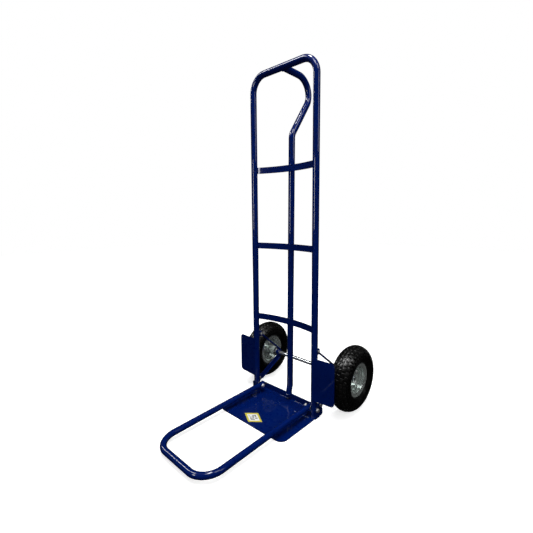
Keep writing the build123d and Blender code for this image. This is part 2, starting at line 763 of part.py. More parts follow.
def valve_stem(side):
    """Rubber valve stem from the inner tube through the rim's well towards the hub."""
    with BuildPart() as stem:
        with BuildSketch(valve_plane(side, VALVE_BASE_R)):
            Circle(VALVE_R)
        extrude(amount=VALVE_LENGTH, taper=3)
    return stem


def valve_cap(side):
    """Screw cap on the valve."""
    with BuildPart() as cap:
        with BuildSketch(valve_plane(side, VALVE_BASE_R - VALVE_LENGTH)):
            Circle(VALVE_R)
        extrude(amount=VALVE_CAP_LENGTH)
        rims = cap.edges().filter_by(GeomType.CIRCLE)
        chamfer(rims.sort_by_distance((side * WHEEL_X, AXLE_Y, WHEEL_R))[0], length=0.8)
    return cap


for side_name, side in SIDES.items():
    save(tyre(side), f"tyre_{side_name}")
    save(inner_tube(side), f"inner_tube_{side_name}")
    save(rim_half(side, 1), f"rim_outboard_{side_name}")
    save(rim_half(side, -1), f"rim_inboard_{side_name}")
    save(hub(side), f"hub_{side_name}")
    bearing_starts = (HUB_OFFSET - HUB_LENGTH, HUB_OFFSET - BEARING_WIDTH)
    save(group(bearing_rings(side, x) for x in bearing_starts), f"bearing_rings_{side_name}")
    save(group(bearing_balls(side, x) for x in bearing_starts), f"bearing_balls_{side_name}")
    save(clamp_bolts(side), f"clamp_bolts_{side_name}")
    save(clamp_nuts(side), f"clamp_nuts_{side_name}")
    save(valve_stem(side), f"valve_stem_{side_name}")
    save(valve_cap(side), f"valve_cap_{side_name}")

# ================================================================== label
label_corners = []
for short, long in ((-0.5, -0.5), (-0.5, 0.5), (0.5, 0.5), (0.5, -0.5)):
    corner_x = LABEL_CENTRE[0] + short * LABEL_SHORT_EDGE[0] + long * LABEL_LONG_EDGE[0]
    corner_y = LABEL_CENTRE[1] + short * LABEL_SHORT_EDGE[1] + long * LABEL_LONG_EDGE[1]
    label_corners.append((corner_x, corner_y))
with BuildPart() as label:
    with BuildSketch(Plane.XY.offset(PLATE_T)):
        Polygon(*label_corners, align=None)
    extrude(amount=LABEL_T)
save(label, "label")
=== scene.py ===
import json
import random
from math import cos, pi, radians, sin, sqrt, tan

import bpy
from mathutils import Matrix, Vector


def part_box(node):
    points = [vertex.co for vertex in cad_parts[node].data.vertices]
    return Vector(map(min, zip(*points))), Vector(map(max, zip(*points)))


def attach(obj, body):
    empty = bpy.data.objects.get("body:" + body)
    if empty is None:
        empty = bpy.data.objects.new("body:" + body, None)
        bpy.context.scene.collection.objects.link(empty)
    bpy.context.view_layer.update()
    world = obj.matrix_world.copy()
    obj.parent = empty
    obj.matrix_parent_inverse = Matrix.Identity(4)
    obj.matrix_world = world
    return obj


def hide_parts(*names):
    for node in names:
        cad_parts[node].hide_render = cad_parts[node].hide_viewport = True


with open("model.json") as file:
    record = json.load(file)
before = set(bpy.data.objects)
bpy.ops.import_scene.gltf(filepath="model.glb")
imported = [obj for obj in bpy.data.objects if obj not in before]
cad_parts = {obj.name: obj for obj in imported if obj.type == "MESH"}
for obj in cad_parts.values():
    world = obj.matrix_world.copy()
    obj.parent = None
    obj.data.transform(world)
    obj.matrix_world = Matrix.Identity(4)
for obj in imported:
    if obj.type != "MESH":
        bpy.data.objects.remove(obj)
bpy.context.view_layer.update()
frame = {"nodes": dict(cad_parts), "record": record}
NODES = frame["nodes"]
SIDES = {"left": -1, "right": 1}

# ------------------------------------------------------------------ sizes, in metres
# Read from the frame
loop_low, loop_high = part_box("frame_loop")
TUBE_R = (loop_high.y - loop_low.y) / 2
LEG_X = loop_high.x - TUBE_R
FOOT_Z = loop_low.z
TOP_Z = loop_high.z - TUBE_R
extension_low, extension_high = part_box("extension_frame")
WHEEL_BOX = {name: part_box(f"tyre_{name}") for name in SIDES}
WHEEL_CENTRE = {name: (box[0] + box[1]) / 2 for name, box in WHEEL_BOX.items()}
WHEEL_R = (WHEEL_BOX["right"][1].z - WHEEL_BOX["right"][0].z) / 2
TYRE_HALF_WIDTH = (WHEEL_BOX["right"][1].x - WHEEL_BOX["right"][0].x) / 2

# The routes of the three bent tubes, as in the CAD model
FRAME_CORNER_R = 0.062
HANDLE_ROUTE = ((0.004, TOP_Z), (0.214, TOP_Z), (0.0535, 1.085), (0.041, 0.062), (0.0315, 0.0212))
HANDLE_RADII = (0.063, 0.045, 0.040)
FLANGE_TOP_Z = 0.0275
EXT_R = 0.011
EXT_CORNER_R = 0.068
EXT_HINGE_Z = 0.034
EXT_FRONT = (-0.487, 0.023)
EXT_STUB = 0.016

# Thickness of the slats
SLAT_T = 0.004

# Wheel guards: their angle in degrees, and the tack welds that hold them to the legs
GUARD_SWEEP = 4.4
TACK_LEVELS = (0.085, 0.160, 0.234)
TACK_SIDE = -0.0030

# Label, as in the CAD model; marks are in shares of its long and short edges
LABEL_CENTRE = (-0.0145, -0.1572)
LABEL_SHORT_EDGE = (0.0404, 0.0336)
LABEL_LONG_EDGE = (0.0534, -0.0300)
LABEL_FIELD = 0.375
LABEL_MARKS = (
    ("black", ((-0.24, -0.02), (-0.17, -0.02), (-0.17, 0.24), (-0.24, 0.24))),
    ("black", ((-0.24, 0.24), (-0.04, 0.24), (-0.04, 0.17), (-0.24, 0.17))),
    ("grey", ((-0.12, -0.06), (0.02, -0.06), (0.02, 0.08), (-0.12, 0.08))),
    ("black", ((0.06, -0.24), (0.26, -0.24), (0.26, -0.17), (0.06, -0.17))),
    ("black", ((0.19, -0.17), (0.26, -0.17), (0.26, 0.05), (0.19, 0.05))),
    ("grey", ((0.06, -0.12), (0.13, -0.12), (0.13, 0.02), (0.06, 0.02))),
    ("black", ((-0.06, -0.22), (0.00, -0.22), (0.00, -0.12), (-0.06, -0.12))),
    ("grey", ((-0.28, -0.28), (-0.10, -0.28), (-0.10, -0.24), (-0.28, -0.24))),
    ("black", ((0.04, 0.12), (0.14, 0.12), (0.14, 0.28), (0.04, 0.28))),
)

# Bevel widths for the CAD nodes whose names start with the word
EDGE_SOFTENING = (
    ("toe_plate", 0.0005), ("wheel_guard", 0.0004), ("slat_", 0.0005), ("hinge_plate", 0.0005),
    ("axle_brace", 0.0004), ("stay_lug", 0.0004),
)

# Camera and lens
CAMERA_AT = (0.8799, -0.9726, 0.7610)
CAMERA_AZIMUTH = 40.7
CAMERA_ELEVATION = 6.92
LENS = 22.58
SHIFT = (-0.0467, -0.0138)

# Floor: half its size, its height just under the tyres, and its glow, which rises to the
# background's white between two distances from the object
FLOOR_HALF = 8.0
FLOOR_Z = -0.0004
FLOOR_FADE = (0.7, 2.2)
FLOOR_GLOW = (0.72, 1.0)

# Strength of the world as the camera sees it, as it lights, and as glossy surfaces mirror it
WORLD_SEEN = 1.0
WORLD_LIT = 0.035
WORLD_MIRRORED = 0.006

# Soft boxes: name, place, aim, size, watts, whether glossy surfaces mirror it, and whether it
# lights matt surfaces
LIGHTS = (
    ("overhead", (-0.08, -0.33, 2.9), (-0.08, -0.33, 0), (0.4, 0.4), 22.0, True, False),
    ("left_key", (-1.25, -1.35, 2.8), (0.1, 0, 0.3), (0.6, 0.6), 9.0, True, False),
    ("left_strip", (-3.6, -1.5, 3.5), (-3.0, -1.5, 0.5), (0.28, 4.2), 120.0, True, False),
    ("back_left", (-1.55, 1.42, 2.9), (0, 0, 1.3), (0.4, 0.4), 0.25, True, False),
    ("front_box", (-0.2, -2.1, 1.0), (0, 0, 0.8), (0.34, 0.7), 8.0, True, False),
    ("wheel_key", (0.6, -0.9, 2.9), (0.3, 0.1, 0.1), (0.8, 0.8), 16.0, True, False),
    ("wheel_card", (1.3, -0.1, 2.4), (0.28, 0.15, 0.13), (0.7, 0.7), 7.0, True, False),
    ("right_card", (2.2, 0.5, 1.85), (0, 0, 1.2), (0.6, 0.9), 6.0, True, True),
    ("top_soft", (0.2, -0.4, 2.9), (0, 0, 0.4), (1.6, 1.6), 74.0, False, True),
    ("side_soft", (2.1, -0.5, 1.5), (0.2, 0.1, 0.1), (1.2, 1.2), 13.0, False, True),
    ("fill", (0.9, -2.5, 0.5), (0, 0, 0.1), (1.8, 0.8), 15.0, False, True),
    ("rear_soft", (0.3, 2.6, 1.8), (0, 0, 0.6), (1.6, 1.6), 22.0, False, True),
)


# ================================================================== camera, floor and light
def make_camera():
    data = bpy.data.cameras.new("camera")
    data.sensor_width = 36.0
    data.lens = LENS
    data.shift_x, data.shift_y = SHIFT
    data.clip_start, data.clip_end = 0.01, 50.0
    camera = bpy.data.objects.new("camera", data)
    bpy.context.scene.collection.objects.link(camera)
    turn, dip = radians(CAMERA_AZIMUTH), radians(CAMERA_ELEVATION)
    ahead = Vector((-sin(turn) * cos(dip), cos(turn) * cos(dip), -sin(dip)))
    camera.location = CAMERA_AT
    camera.rotation_euler = ahead.to_track_quat("-Z", "Y").to_euler()
    bpy.context.scene.camera = camera


def area_light(name, at, aim, size, watts, mirrored, lighting):
    """A rectangular soft box that the camera itself doesn't see."""
    data = bpy.data.lights.new(name, "AREA")
    data.shape = "RECTANGLE"
    data.size, data.size_y = size
    data.energy = watts
    light = bpy.data.objects.new(name, data)
    bpy.context.scene.collection.objects.link(light)
    light.location = at
    light.rotation_euler = (Vector(aim) - Vector(at)).to_track_quat("-Z", "Y").to_euler()
    light.visible_camera = False
    light.visible_glossy = mirrored
    light.visible_diffuse = lighting


def make_world():
    """White behind the object; what lights it is dimmer, and what it mirrors is a dark studio."""
    world = bpy.data.worlds.new("studio")
    world.use_nodes = True
    tree = world.node_tree
    tree.nodes.clear()
    out = tree.nodes.new("ShaderNodeOutputWorld")
    path = tree.nodes.new("ShaderNodeLightPath")
    result = None
    shares = ((None, WORLD_LIT), ("Is Glossy Ray", WORLD_MIRRORED), ("Is Camera Ray", WORLD_SEEN))
    for ray, strength in shares:
        shade = tree.nodes.new("ShaderNodeBackground")
        shade.inputs["Color"].default_value = (1.0, 1.0, 1.0, 1.0)
        shade.inputs["Strength"].default_value = strength
        if result is None:
            result = shade.outputs[0]
            continue
        mix = tree.nodes.new("ShaderNodeMixShader")
        tree.links.new(path.outputs[ray], mix.inputs["Fac"])
        tree.links.new(result, mix.inputs[1])
        tree.links.new(shade.outputs[0], mix.inputs[2])
        result = mix.outputs[0]
    tree.links.new(result, out.inputs["Surface"])
    bpy.context.scene.world = world


def make_floor():
    """A plain white floor that fades into the white behind it."""
    mesh = bpy.data.meshes.new("floor")
    far = FLOOR_HALF
    corners = [(-far, -far, 0), (far, -far, 0), (far, far, 0), (-far, far, 0)]
    mesh.from_pydata(corners, [], [(0, 1, 2, 3)])
    floor = bpy.data.objects.new("floor", mesh)
    bpy.context.scene.collection.objects.link(floor)
    floor.location.z = FLOOR_Z
    material, tree, shader, where = new_material("pale_floor")
    shader.inputs["Base Color"].default_value = (0.80, 0.80, 0.80, 1.0)
    shader.inputs["Roughness"].default_value = 0.8
    shader.inputs["Specular IOR Level"].default_value = 0.1
    shader.inputs["Emission Color"].default_value = (1.0, 1.0, 1.0, 1.0)
    distance = tree.nodes.new("ShaderNodeVectorMath")
    distance.operation = "LENGTH"
    tree.links.new(where, distance.inputs[0])
    fade = tree.nodes.new("ShaderNodeMapRange")
    fade.interpolation_type = "SMOOTHSTEP"
    set_range(fade, FLOOR_FADE, FLOOR_GLOW)
    tree.links.new(distance.outputs["Value"], fade.inputs["Value"])
    tree.links.new(fade.outputs["Result"], shader.inputs["Emission Strength"])
    mesh.materials.append(material)
    floor.visible_glossy = False
    floor.visible_diffuse = False


# ================================================================== node materials
def new_material(name):
    material = bpy.data.materials.new(name)
    material.use_nodes = True
    tree = material.node_tree
    shader = tree.nodes["Principled BSDF"]
    coordinates = tree.nodes.new("ShaderNodeTexCoord")
    return material, tree, shader, coordinates.outputs["Object"]


def set_range(node, source, target):
    """Sets what a Map Range node reads and what it gives."""
    for name, (low, high) in (("From", source), ("To", target)):
        node.inputs[f"{name} Min"].default_value = low
        node.inputs[f"{name} Max"].default_value = high


def noise(tree, where, scale, detail=2.0, roughness=0.5):
    """Noise over the object's own coordinates."""
    texture = tree.nodes.new("ShaderNodeTexNoise")
    texture.inputs["Scale"].default_value = scale
    texture.inputs["Detail"].default_value = detail
    texture.inputs["Roughness"].default_value = roughness
    tree.links.new(where, texture.inputs["Vector"])
    return texture.outputs["Fac"]


def ramp(tree, factor, stops):
    """Colour ramp from (position, colour) stops; a colour is a number for grey or three numbers."""
    node = tree.nodes.new("ShaderNodeValToRGB")
    elements = node.color_ramp.elements
    while len(elements) < len(stops):
        elements.new(0.5)
    for element, (place, colour) in zip(elements, stops):
        element.position = place
        rgb = (colour,) * 3 if isinstance(colour, (int, float)) else colour
        element.color = (*rgb, 1.0)
    tree.links.new(factor, node.inputs["Fac"])
    return node.outputs["Color"]


def bump(tree, shader, height, strength, distance, after=None):
    """Bump on a shader's normal; after chains it to an earlier bump."""
    node = tree.nodes.new("ShaderNodeBump")
    node.inputs["Strength"].default_value = strength
    node.inputs["Distance"].default_value = distance
    tree.links.new(height, node.inputs["Height"])
    if after is not None:
        tree.links.new(after, node.inputs["Normal"])
    tree.links.new(node.outputs["Normal"], shader.inputs["Normal"])
    return node.outputs["Normal"]


def painted_edge_shade(tree, colour):
    """Painted shade: a colour darkened where the surface turns away from the view, towards its
    edges.
    """
    weight = tree.nodes.new("ShaderNodeLayerWeight")
    weight.inputs["Blend"].default_value = 0.5
    # painted shade: full colour where the surface faces the view, falling to a fifth of it at the
    # edges
    depth = ramp(tree, weight.outputs["Facing"], [(0.55, 1.0), (0.85, 0.20)])
    product = tree.nodes.new("ShaderNodeMix")
    product.data_type = "RGBA"
    product.blend_type = "MULTIPLY"
    product.inputs["Factor"].default_value = 1.0
    tree.links.new(colour, product.inputs["A"])
    tree.links.new(depth, product.inputs["B"])
    return product.outputs["Result"]


def paint_material():
    """Gloss navy powder coat: cloudy colour with painted shade at its edges, a little orange peel
    and slow waves in its shine.
    """
    material, tree, shader, where = new_material("navy_powder_coat")
    patches = noise(tree, where, 9.0, detail=4.0)
    colour = ramp(tree, patches, [(0.3, (0.0001, 0.0075, 0.088)), (0.7, (0.0002, 0.0100, 0.108))])
    # the base colour carries painted shade that darkens it towards the edges seen from the camera
    tree.links.new(painted_edge_shade(tree, colour), shader.inputs["Base Color"])
    haze = ramp(tree, noise(tree, where, 60.0, detail=4.0), [(0.35, 0.26), (0.7, 0.34)])
    tree.links.new(haze, shader.inputs["Roughness"])
    shader.inputs["Specular IOR Level"].default_value = 0.05
    shader.inputs["Coat Weight"].default_value = 1.0
    shader.inputs["Coat Roughness"].default_value = 0.045
    shader.inputs["Coat IOR"].default_value = 1.5
    peel = bump(tree, shader, noise(tree, where, 420.0, detail=1.0), 0.05, 0.0001)
    bump(tree, shader, noise(tree, where, 26.0, detail=1.0), 0.10, 0.0010, after=peel)
    return material


def zinc_material(name, light, dark, rough, spangle=90.0, metallic=1.0):
    """Zinc plate with cloudy patches of grey and gloss; dulled plate is less metallic."""
    material, tree, shader, where = new_material(name)
    cells = tree.nodes.new("ShaderNodeTexVoronoi")
    cells.inputs["Scale"].default_value = spangle
    tree.links.new(where, cells.inputs["Vector"])
    clouds = noise(tree, where, 22.0, detail=5.0, roughness=0.6)
    blend = tree.nodes.new("ShaderNodeMix")
    blend.data_type = "FLOAT"
    blend.inputs["Factor"].default_value = 0.25
    tree.links.new(clouds, blend.inputs["A"])
    tree.links.new(cells.outputs["Distance"], blend.inputs["B"])
    colour = ramp(tree, blend.outputs["Result"], [(0.3, dark), (0.65, light)])
    tree.links.new(colour, shader.inputs["Base Color"])
    gloss = ramp(tree, clouds, [(0.3, rough * 0.75), (0.7, rough * 1.3)])
    tree.links.new(gloss, shader.inputs["Roughness"])
    shader.inputs["Metallic"].default_value = metallic
    bump(tree, shader, noise(tree, where, 500.0, detail=2.0), 0.04, 0.0002)
    return material


# Radii between which the tyre's specular level rises, and its two levels
SHEEN_RADII = (0.098, 0.112)
SHEEN_LEVELS = (0.08, 0.9)


def sheen_of_radius(tree, where):
    """Specular level that is low on the tyre's side wall and high on its tread blocks."""
    centre = WHEEL_CENTRE["right"]
    radial = tree.nodes.new("ShaderNodeVectorMath")
    radial.operation = "MULTIPLY"
    radial.inputs[1].default_value = (0.0, 1.0, 1.0)
    tree.links.new(where, radial.inputs[0])
    distance = tree.nodes.new("ShaderNodeVectorMath")
    distance.operation = "DISTANCE"
    distance.inputs[1].default_value = (0.0, centre.y, centre.z)
    tree.links.new(radial.outputs["Vector"], distance.inputs[0])
    level = tree.nodes.new("ShaderNodeMapRange")
    set_range(level, SHEEN_RADII, SHEEN_LEVELS)
    tree.links.new(distance.outputs["Value"], level.inputs["Value"])
    return level.outputs["Result"]


def rubber_material():
    """Black moulded rubber with a soft sheen, and a grey bloom in patches."""
    material, tree, shader, where = new_material("tyre_rubber")
    bloom = noise(tree, where, 26.0, detail=6.0, roughness=0.65)
    colour = ramp(tree, bloom, [(0.35, 0.0015), (0.6, 0.0040), (0.8, (0.011, 0.011, 0.0105))])
    tree.links.new(colour, shader.inputs["Base Color"])
    tree.links.new(ramp(tree, bloom, [(0.3, 0.22), (0.7, 0.36)]), shader.inputs["Roughness"])
    tree.links.new(sheen_of_radius(tree, where), shader.inputs["Specular IOR Level"])
    grain = bump(tree, shader, noise(tree, where, 700.0, detail=2.0), 0.2, 0.0002)
    bump(tree, shader, noise(tree, where, 120.0, detail=2.0), 0.35, 0.0012, after=grain)
    return material


GRAIN_SCALE = 200.0


def plain_material(name, low, high, rough, bumpiness=0.1):
    """Moulded or printed surface with slight cloudiness and a fine grain."""
    material, tree, shader, where = new_material(name)
    clouds = noise(tree, where, GRAIN_SCALE, detail=3.0)
    tree.links.new(ramp(tree, clouds, [(0.3, low), (0.7, high)]), shader.inputs["Base Color"])
    gloss = ramp(tree, clouds, [(0.3, rough * 0.85), (0.7, rough * 1.15)])
    tree.links.new(gloss, shader.inputs["Roughness"])
    bump(tree, shader, noise(tree, where, GRAIN_SCALE * 5), bumpiness, 0.0003)
    return material


MATERIALS = {
    "frame_paint": paint_material(),
    "fastener_zinc": zinc_material("bright_zinc", 0.72, 0.54, 0.34, metallic=0.8),
    "axle_zinc": zinc_material(
        "axle_zinc", (0.80, 0.85, 0.88), (0.56, 0.60, 0.63), 0.2, metallic=0.85
    ),
    "rim_zinc": zinc_material(
        "rim_zinc", (0.88, 0.95, 0.92), (0.66, 0.74, 0.71), 0.2, spangle=60.0, metallic=0.75
    ),
    "bearing_steel": zinc_material("bearing_steel", 0.75, 0.6, 0.18),
    "tyre_rubber": rubber_material(),
    "tube_rubber": plain_material("tube_rubber", 0.010, 0.018, 0.55),
    "valve_rubber": plain_material("valve_rubber", 0.008, 0.014, 0.5),
    "cap_plastic": plain_material("cap_plastic", 0.010, 0.016, 0.4),
    "label_film": plain_material("label_white", 0.80, 0.86, 0.32, bumpiness=0.03),
}
LABEL_YELLOW = plain_material(
    "label_yellow", (0.60, 0.52, 0.02), (0.74, 0.66, 0.05), 0.32, bumpiness=0.03
)
LABEL_INK = plain_material("label_ink", 0.012, 0.02, 0.35, bumpiness=0.03)
LABEL_GREY = plain_material("label_grey", 0.16, 0.24, 0.35, bumpiness=0.03)


def dress_cad_nodes():
    """Gives every CAD node the material of its record slot."""
    for part in frame["record"]["subparts"]:
        node = NODES[part["node"]]
        node.data.materials.clear()
        node.data.materials.append(MATERIALS[part["material_slot"]])


# ================================================================== mesh helpers
def new_piece(name, verts, faces, body, slot, material=None, smooth_angle=35.0):
    """A mesh object with one material, riding on a body."""
    mesh = bpy.data.meshes.new(name)
    mesh.from_pydata([tuple(v) for v in verts], [], faces)
    mesh.validate()
    for polygon in mesh.polygons:
        polygon.use_smooth = True
    mesh.set_sharp_from_angle(angle=radians(smooth_angle))
    mesh.materials.append(material or MATERIALS[slot])
    piece = bpy.data.objects.new(name, mesh)
    bpy.context.scene.collection.objects.link(piece)
    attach(piece, body)
    return piece


def loft(rings, cap_ends=True, loop_rows=False):
    """Faces between closed rings of equal count; loop_rows joins the last ring to the first."""
    count = len(rings[0])
    verts = [point for one in rings for point in one]
    faces = []
    for row in range(len(rings) if loop_rows else len(rings) - 1):
        here, there = row * count, (row + 1) % len(rings) * count
        for column in range(count):
            after = (column + 1) % count
            faces.append((here + column, here + after, there + after, there + column))
    if cap_ends:
        faces.append(tuple(reversed(range(count))))
        faces.append(tuple(range(len(verts) - count, len(verts))))
    return verts, faces


# ================================================================== bent tubes
RING_POINTS = 40
BEND_STEPS = 36
STRAIGHT_STEP = 0.02
TUBE_WALL = 0.0015
END_DEPTH = 0.012
# In a bend: the share that the section flattens, the depth of the wrinkles on its inner side
# and their part on its outer side, and the number of wrinkles on each
BEND_FLATTENING = 0.018
BEND_WRINKLE = 0.0003
OUTER_SHARE = 0.35
INNER_RIPPLES = 5
OUTER_RIPPLES = 7


def rounded_route(corners, radii):
    """Stations along a route with rounded corners.

    Each is (point, tangent, direction to the bend's inner side or None, share of the bend).
    """
    points = [Vector(corner) for corner in corners]
    stations = []
    start = points[0]
    for corner, before, after, radius in zip(points[1:-1], points, points[2:], radii):
        arriving = (corner - before).normalized()
        leaving = (after - corner).normalized()
        turn = arriving.angle(leaving)
        setback = radius * tan(turn / 2)
        inner = (leaving - arriving * arriving.dot(leaving)).normalized()
        bend_start = corner - arriving * setback
        straight_run(stations, start, bend_start, arriving)
        centre = bend_start + inner * radius
        for step in range(BEND_STEPS + 1):
            angle = turn * step / BEND_STEPS
            outwards = arriving * sin(angle) - inner * cos(angle)
            tangent = arriving * cos(angle) + inner * sin(angle)
            stations.append((centre + outwards * radius, tangent, -outwards, step / BEND_STEPS))
        start = corner + leaving * setback
    straight_run(stations, start, points[-1], (points[-1] - start).normalized(), last=True)
    return stations


def straight_run(stations, start, end, tangent, last=False):
    """Adds the stations of a straight stretch; its far end belongs to the bend that follows."""
    steps = max(1, round((end - start).length / STRAIGHT_STEP))
    for step in range(steps + (1 if last else 0)):
        if step == 0 and stations:
            continue
        stations.append((start.lerp(end, step / steps), tangent, None, 0.0))


def bent_tube(name, corners, radii, tube_r, normal, body):
    """A round tube bent in one plane, slightly flattened and wrinkled in its bends."""
    normal = Vector(normal)
    stations = rounded_route(corners, radii)
    turns = [2 * pi * index / RING_POINTS for index in range(RING_POINTS)]
    rings = []
    for point, tangent, inner, share in stations:
        side = normal.cross(tangent).normalized()
        facing = 1.0 if inner is None or inner.dot(side) > 0 else -1.0
        swell = sin(pi * share) if inner is not None else 0.0
        inner_ripple = 0.5 - 0.5 * cos(2 * pi * INNER_RIPPLES * share)
        outer_ripple = 0.5 - 0.5 * cos(2 * pi * OUTER_RIPPLES * share)
        ring = []
        for angle in turns:
            inward = cos(angle) * facing
            flatten = BEND_FLATTENING * swell * inward * inward
            crease = BEND_WRINKLE * swell * inner_ripple * max(0.0, inward) ** 2
            facet = OUTER_SHARE * BEND_WRINKLE * swell * outer_ripple * max(0.0, -inward)
            reach = tube_r * (1 - flatten) - crease - facet
            ring.append(point + side * cos(angle) * reach + normal * sin(angle) * reach)
        rings.append(ring)
    # the wall shows at both open ends
    for end, inwards in ((0, 1), (-1, -1)):
        point, tangent, _, _ = stations[end]
        side = normal.cross(tangent).normalized()
        for depth in (0.0, END_DEPTH):
            ring = []
            for angle in turns:
                offset = (side * cos(angle) + normal * sin(angle)) * (tube_r - TUBE_WALL)
                ring.append(point + tangent * depth * inwards + offset)
            if end == 0:
                rings.insert(0, ring)
            else:
                rings.append(ring)
    verts, faces = loft(rings)
    return new_piece(name, verts, faces, body, "frame_paint", smooth_angle=40.0)


def make_tubes():
    corners = [(-LEG_X, 0, FOOT_Z), (-LEG_X, 0, TOP_Z), (LEG_X, 0, TOP_Z), (LEG_X, 0, FOOT_Z)]
    loop = bent_tube("frame_tube", corners, [FRAME_CORNER_R] * 2, TUBE_R, (0, 1, 0), "frame")
    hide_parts("frame_loop")

    corners = [(0, y, z) for y, z in HANDLE_ROUTE]
    centre = bent_tube("handle_tube", corners, HANDLE_RADII, TUBE_R, (1, 0, 0), "frame")
    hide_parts("centre_tube")

    arm_x = extension_high.x - EXT_R
    front_y, front_z = EXT_FRONT
    hinge = Vector((0, 0, EXT_HINGE_Z))
    forward = (Vector((0, front_y, front_z)) - hinge).normalized()
    across = Vector((1, 0, 0))
    tip = Vector((0, front_y, front_z))
    stub = hinge - forward * EXT_STUB
    reach = across * arm_x
    corners = [stub - reach, tip - reach, tip + reach, stub + reach]
    normal = across.cross(forward)
    arms = bent_tube("extension_tube", corners, [EXT_CORNER_R] * 2, EXT_R, normal, "toe_extension")
    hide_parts("extension_frame")


# ================================================================== tyres
PITCHES = 38
TREAD_DEPTH = 0.0048
# rows of blocks as (start, end, stagger): distance from the crown's middle along the section
BLOCK_ROWS = (
    (0.0018, 0.0130, 0.0), (0.0165, 0.0290, 0.5), (0.0325, 0.0470, 0.0), (0.0500, 0.0610, 0.5),
)
# gap between blocks as a share of a pitch, then widths of a block's steep wall, of that wall
# with its rounded shoulder, and of the foot beyond each row; the two rises add up to 1
BLOCK_GAP = 0.22
BLOCK_WALL = 0.0008
BLOCK_SHOULDER = 0.0018
ROW_FOOT = 0.0018
WALL_RISE = 0.86
SHOULDER_RISE = 0.14
# pitches by which the outermost row runs ahead of the crown
CHEVRON = 0.16
CROWN_STEPS = 2000
CROWN_EDGE = 0.0010
WIDEST_R = 0.087
TYRE_INNER = (
    (0.0243, 0.0549), (0.0221, 0.0527), (0.0160, 0.0527), (0.0162, 0.070),
    (0.0330, 0.0760), (0.0380, 0.0880), (0.0335, 0.106), (0.0210, 0.119), (0.0, 0.1240),
)
BEAD_OUTER = (0.0243, 0.0675)
# moulded ribs of the side wall as (radius, half width, rise), and the share of it that rises
SIDE_RIBS = ((0.0735, 0.0008, 0.0006), (0.0905, 0.0012, 0.0007), (0.0935, 0.0008, 0.0005))
RIB_TOP = 0.6
SIDE_RADII = (0.087, 0.081, 0.078, 0.0755, 0.0715, 0.0695)
SIDE_INSET = 0.0008
TREAD_TO_SIDE = 0.0015


def crown_section():
    """Fine steps down one side: (distance from the crown, x, r, outward x, outward r)."""
    half_width, height = TYRE_HALF_WIDTH, WHEEL_R - WIDEST_R
    table, distance, last = [], 0.0, (0.0, WHEEL_R)
    for step in range(CROWN_STEPS + 1):
        angle = pi / 2 * step / CROWN_STEPS
        point = (half_width * sin(angle), WIDEST_R + height * cos(angle))
        distance += sqrt((point[0] - last[0]) ** 2 + (point[1] - last[1]) ** 2)
        last = point
        out = Vector((sin(angle) / half_width, cos(angle) / height)).normalized()
        table.append((distance, *point, out.x, out.y))
    return table


def row_marks():
    """Distances from the crown at which the block rows change the surface."""
    marks = [0.0, CROWN_EDGE]
    for start, end, _ in BLOCK_ROWS:
        middle = (start + end) / 2
        marks += [start, start + BLOCK_WALL, start + BLOCK_SHOULDER, middle]
        marks += [end - BLOCK_SHOULDER, end - BLOCK_WALL, end]
        marks += [end + ROW_FOOT]
    return marks


def window(place, start, end, wall, shoulder):
    """1 inside a block, 0 outside it, with a short steep wall and a rounded shoulder."""
    reach = min(place - start, end - place)
    if reach <= 1e-9:
        return 0.0
    if reach <= wall:
        return WALL_RISE * reach / wall
    if reach < shoulder:
        return WALL_RISE + SHOULDER_RISE * (reach - wall) / (shoulder - wall)
    return 1.0


def around_marks(pitch_length):
    """Shares of one pitch at which the surface changes, for both staggers."""
    wall, shoulder = BLOCK_WALL / pitch_length, BLOCK_SHOULDER / pitch_length
    marks = {0.0, 0.25, 0.5, 0.75}
    for centre in (0.0, 0.5):
        for sign in (-1, 1):
            edge = centre + sign * BLOCK_GAP / 2
            for inset in (0.0, wall, shoulder):
                marks.add(round((edge + sign * inset) % 1.0, 6))
    return sorted(marks)


def block_height(distance, share, pitch_length):
    """Height of the tread, 0 to 1, at a distance from the crown and a share of a pitch."""
    best = 0.0
    for start, end, stagger in BLOCK_ROWS:
        across_row = window(distance, start, end, BLOCK_WALL, BLOCK_SHOULDER)
        if across_row:
            local = (share + stagger) % 1.0
            wall, shoulder = BLOCK_WALL / pitch_length, BLOCK_SHOULDER / pitch_length
            along_row = window(local, BLOCK_GAP / 2, 1 - BLOCK_GAP / 2, wall, shoulder)
            best = max(best, min(across_row, along_row))
    return best


def side_wall():
    """(x, r) points from below the tread down to the bead, with moulded ribs."""
    points = []
    height = WHEEL_R - WIDEST_R
    tread_end = BLOCK_ROWS[-1][1] + ROW_FOOT
    crown = crown_section()
    start_r = next(row[2] for row in crown if row[0] >= tread_end)
    marks = [start_r - TREAD_TO_SIDE]
    for rib_r, half, _ in sorted(SIDE_RIBS, reverse=True):
        marks += [rib_r + half, rib_r + half / 2, rib_r - half / 2, rib_r - half]
    marks += [*SIDE_RADII, BEAD_OUTER[1]]
    for r in sorted(marks, reverse=True):
        if r > WIDEST_R:
            x = TYRE_HALF_WIDTH * sqrt(max(0.0, 1 - ((r - WIDEST_R) / height) ** 2))
        else:
            drop = (WIDEST_R - r) / (WIDEST_R - BEAD_OUTER[1])
            bulge = 1 - sqrt(max(0.0, 1 - drop ** 2))
            x = TYRE_HALF_WIDTH - (TYRE_HALF_WIDTH - BEAD_OUTER[0]) * bulge
        rises = [rise for rib_r, half, rise in SIDE_RIBS if abs(r - rib_r) < half * RIB_TOP]
        points.append((x - SIDE_INSET + max(rises, default=0.0), r))
    return points


